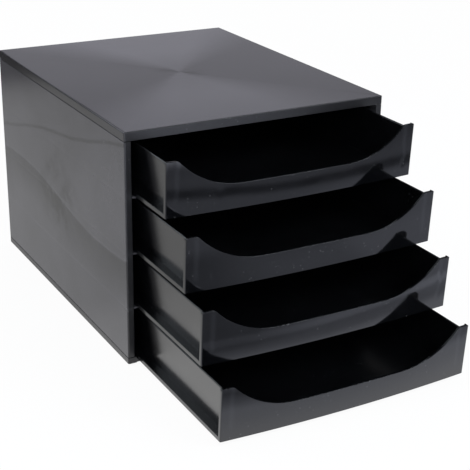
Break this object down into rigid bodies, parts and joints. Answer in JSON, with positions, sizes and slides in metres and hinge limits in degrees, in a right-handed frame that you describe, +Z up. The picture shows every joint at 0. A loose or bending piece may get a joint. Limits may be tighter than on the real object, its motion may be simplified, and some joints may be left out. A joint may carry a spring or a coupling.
{
  "type": "letter tray stack",
  "caption": "Desktop letter tray stack: a panelled plastic casing with sliding open drawers whose bowed, scooped fronts stand stepped out.",
  "frame": {"origin": "on the table, in the middle of the footprint with the drawers standing stepped out as in the picture", "axes": "+Z up, +Y from the drawer fronts towards the back, +X to the viewer's right when facing the fronts"},
  "size_m": [0.284, 0.5222, 0.236],
  "materials": {
    "casing": "satin moulded",
    "drawer": "satin moulded",
    "foot": "matt"
  },
  "bodies": {
    "casing": {"top_panel": "casing", "base_panel": "casing", "left_side_panel": "casing", "right_side_panel": "casing", "back_panel": "casing", "foot_front_left": "foot", "foot_front_right": "foot", "foot_back_left": "foot", "foot_back_right": "foot"},
    "drawer_1_body": {"drawer_1": "drawer"},
    "drawer_2_body": {"drawer_2": "drawer"},
    "drawer_3_body": {"drawer_3": "drawer"},
    "drawer_4_body": {"drawer_4": "drawer"}
  },
  "joints": [
    {"name": "drawer_1_slide", "type": "slide", "parent": "casing", "child": "drawer_1_body", "axis": [0, -1, 0], "range_m": [-0.064, 0.178]},
    {"name": "drawer_2_slide", "type": "slide", "parent": "casing", "child": "drawer_2_body", "axis": [0, -1, 0], "range_m": [-0.102, 0.14]},
    {"name": "drawer_3_slide", "type": "slide", "parent": "casing", "child": "drawer_3_body", "axis": [0, -1, 0], "range_m": [-0.133, 0.109]},
    {"name": "drawer_4_slide", "type": "slide", "parent": "casing", "child": "drawer_4_body", "axis": [0, -1, 0], "range_m": [-0.169, 0.073]}
  ]
}
